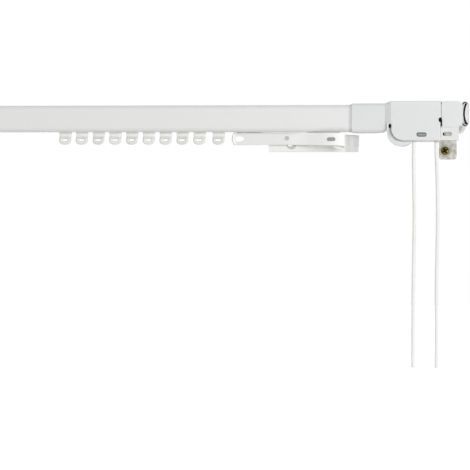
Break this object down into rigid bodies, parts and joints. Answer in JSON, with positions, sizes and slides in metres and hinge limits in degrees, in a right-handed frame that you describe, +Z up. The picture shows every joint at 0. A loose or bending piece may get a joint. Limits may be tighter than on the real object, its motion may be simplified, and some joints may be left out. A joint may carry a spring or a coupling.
{
  "type": "extendable corded curtain track",
  "caption": "Telescoping white metal curtain rod with returns to the wall, pulley housings, sliding gliders, two overlapping master carriers and a draw cord that hangs as two tails.",
  "frame": {"origin": "on the wall, midway between the two screws of the right wall plate", "axes": "+X along the rod to the right, +Y into the wall, +Z up"},
  "size_m": [0.8426, 0.1209, 0.2676],
  "materials": {
    "white_enamel": "semi-gloss stove enamel",
    "plate_enamel": "semi-gloss enamel",
    "master_enamel": "semi-gloss enamel",
    "white_plastic": "satin moulded",
    "slider_plastic": "satin moulded",
    "pulley_plastic": "moulded",
    "rivet_metal": "bright",
    "steel": "zinc plated",
    "brass": "bright",
    "dark_clip": "dark spring steel",
    "cord": "braided"
  },
  "bodies": {
    "right_bracket": {"right_wall_bracket": "plate_enamel", "right_wall_screws": "brass"},
    "right_end": {"outer_track_face": "white_enamel", "outer_track_top_roll": "white_enamel", "outer_track_foot_roll": "white_enamel", "right_housing_cover": "white_plastic", "right_housing_back": "white_plastic", "right_pulley_axles": "steel", "right_cover_clip": "dark_clip", "right_corner_piece": "white_plastic", "right_return_arm": "white_enamel", "right_corner_rivet": "rivet_metal", "right_lock_screw": "steel", "cord_tail_left": "cord", "cord_tail_right": "cord", "draw_cord_lower_bend": "cord", "draw_cord_upper_bend": "cord", "draw_cord_lower_run": "cord", "draw_cord_upper_run": "cord"},
    "left_end": {"inner_track_face": "white_enamel", "inner_track_top_roll": "white_enamel", "inner_track_foot_roll": "white_enamel", "left_housing_cover": "white_plastic", "left_housing_back": "white_plastic", "left_cover_clip": "dark_clip", "left_corner_piece": "white_plastic", "left_return_arm": "white_enamel", "left_corner_rivet": "rivet_metal", "left_lock_screw": "steel", "idler_axle": "steel", "draw_cord_idler_bend": "cord"},
    "left_bracket": {"left_wall_bracket": "plate_enamel", "left_wall_screws": "brass"},
    "lower_pulley": {"lower_cord_pulley": "pulley_plastic"},
    "upper_pulley": {"upper_cord_pulley": "pulley_plastic"},
    "idler": {"idler_pulley": "pulley_plastic"},
    "overlap_master": {"overlap_slider": "slider_plastic", "overlap_arm": "master_enamel", "overlap_rivet": "rivet_metal", "cord_stops": "slider_plastic"},
    "underlap_master": {"underlap_slider": "slider_plastic", "underlap_plate": "master_enamel", "underlap_rivets": "rivet_metal"},
    "glider_01": {"glider_01": "slider_plastic"},
    "glider_02": {"glider_02": "slider_plastic"},
    "glider_03": {"glider_03": "slider_plastic"},
    "glider_04": {"glider_04": "slider_plastic"},
    "glider_05": {"glider_05": "slider_plastic"},
    "glider_06": {"glider_06": "slider_plastic"},
    "glider_07": {"glider_07": "slider_plastic"},
    "glider_08": {"glider_08": "slider_plastic"},
    "glider_09": {"glider_09": "slider_plastic"},
    "glider_10": {"glider_10": "slider_plastic"}
  },
  "joints": [
    {"name": "right_projection", "type": "slide", "parent": "right_bracket", "child": "right_end", "axis": [0, -1, 0], "range_m": [-0.004, 0.031]},
    {"name": "rod_extension", "type": "slide", "parent": "right_end", "child": "left_end", "axis": [-1, 0, 0], "range_m": [-0.128, 0.28], "deforming": ["draw_cord_lower_run", "draw_cord_upper_run"]},
    {"name": "left_projection", "type": "slide", "parent": "left_end", "child": "left_bracket", "axis": [0, 1, 0], "range_m": [-0.004, 0.031]},
    {"name": "overlap_travel", "type": "slide", "parent": "right_end", "child": "overlap_master", "axis": [1, 0, 0], "range_m": [-0.214, 0.003]},
    {"name": "underlap_travel", "type": "slide", "parent": "right_end", "child": "underlap_master", "axis": [1, 0, 0], "range_m": [-0.002, 0.012]},
    {"name": "glider_01_travel", "type": "slide", "parent": "right_end", "child": "glider_01", "axis": [1, 0, 0], "range_m": [-0.2085, 0.004]},
    {"name": "glider_02_travel", "type": "slide", "parent": "right_end", "child": "glider_02", "axis": [1, 0, 0], "range_m": [-0.2023, 0.004]},
    {"name": "glider_03_travel", "type": "slide", "parent": "right_end", "child": "glider_03", "axis": [1, 0, 0], "range_m": [-0.1983, 0.004]},
    {"name": "glider_04_travel", "type": "slide", "parent": "right_end", "child": "glider_04", "axis": [1, 0, 0], "range_m": [-0.1943, 0.004]},
    {"name": "glider_05_travel", "type": "slide", "parent": "right_end", "child": "glider_05", "axis": [1, 0, 0], "range_m": [-0.1903, 0.004]},
    {"name": "glider_06_travel", "type": "slide", "parent": "right_end", "child": "glider_06", "axis": [1, 0, 0], "range_m": [-0.1863, 0.004]},
    {"name": "glider_07_travel", "type": "slide", "parent": "right_end", "child": "glider_07", "axis": [1, 0, 0], "range_m": [-0.1823, 0.004]},
    {"name": "glider_08_travel", "type": "slide", "parent": "right_end", "child": "glider_08", "axis": [1, 0, 0], "range_m": [-0.1783, 0.004]},
    {"name": "glider_09_travel", "type": "slide", "parent": "right_end", "child": "glider_09", "axis": [1, 0, 0], "range_m": [-0.1743, 0.004]},
    {"name": "glider_10_travel", "type": "slide", "parent": "right_end", "child": "glider_10", "axis": [1, 0, 0], "range_m": [-0.1703, 0.004]},
    {"name": "lower_pulley_spin", "type": "hinge", "parent": "right_end", "child": "lower_pulley", "pos_m": [-0.0471, -0.085, -0.0026], "axis": [0, 1, 0], "range_deg": [-1095, 25]},
    {"name": "upper_pulley_spin", "type": "hinge", "parent": "right_end", "child": "upper_pulley", "pos_m": [-0.0229, -0.085, 0.0096], "axis": [0, 1, 0], "range_deg": [-28, 1301]},
    {"name": "idler_spin", "type": "hinge", "parent": "left_end", "child": "idler", "pos_m": [-0.7646, -0.085, 0.0139], "axis": [0, 1, 0], "range_deg": [-43, 2368]}
  ],
  "couplings": [
    {"joint": "glider_01_travel", "follows": "overlap_travel", "ratio": 0.9696},
    {"joint": "glider_02_travel", "follows": "overlap_travel", "ratio": 0.9407},
    {"joint": "glider_03_travel", "follows": "overlap_travel", "ratio": 0.922},
    {"joint": "glider_04_travel", "follows": "overlap_travel", "ratio": 0.9033},
    {"joint": "glider_05_travel", "follows": "overlap_travel", "ratio": 0.8846},
    {"joint": "glider_06_travel", "follows": "overlap_travel", "ratio": 0.8659},
    {"joint": "glider_07_travel", "follows": "overlap_travel", "ratio": 0.8472},
    {"joint": "glider_08_travel", "follows": "overlap_travel", "ratio": 0.8285},
    {"joint": "glider_09_travel", "follows": "overlap_travel", "ratio": 0.8098},
    {"joint": "glider_10_travel", "follows": "overlap_travel", "ratio": 0.7911},
    {"joint": "lower_pulley_spin", "follows": "overlap_travel", "rad_per_m": 88.496},
    {"joint": "upper_pulley_spin", "follows": "overlap_travel", "rad_per_m": -105.26},
    {"joint": "idler_spin", "follows": "overlap_travel", "rad_per_m": -192.31}
  ]
}
